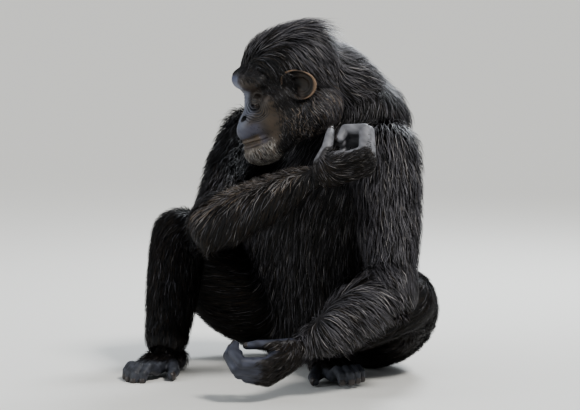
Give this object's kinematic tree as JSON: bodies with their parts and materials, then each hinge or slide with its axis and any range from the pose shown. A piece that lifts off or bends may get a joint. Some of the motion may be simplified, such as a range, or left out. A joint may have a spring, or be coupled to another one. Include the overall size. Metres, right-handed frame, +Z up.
{
  "type": "seated chimpanzee",
  "caption": "Life-size still figure of an adult chimpanzee, seated with knees apart, head turned to its right, right forearm raised across the chest and left hand low and cupped.",
  "frame": {"origin": "on the floor under the middle of the pelvis", "axes": "+Z up, -Y the way the trunk faces, +X the animal's left"},
  "size_m": [0.6592, 0.6868, 0.7094],
  "materials": {
    "coat": "matt",
    "face": "satin",
    "hand": "satin",
    "ear": "satin",
    "eye": "polished"
  },
  "bodies": {
    "root": {"eye_left": "eye", "eye_right": "eye", "head": "face", "ear_left": "ear", "ear_right": "ear", "hand_left": "hand", "hand_right": "hand", "forearm_left": "coat", "forearm_right": "coat", "torso": "coat", "upper_arm_left": "coat", "upper_arm_right": "coat", "neck": "coat", "thigh_left": "coat", "thigh_right": "coat", "shin_left": "coat", "shin_right": "coat", "foot_left": "hand", "foot_right": "hand"}
  },
  "joints": []
}
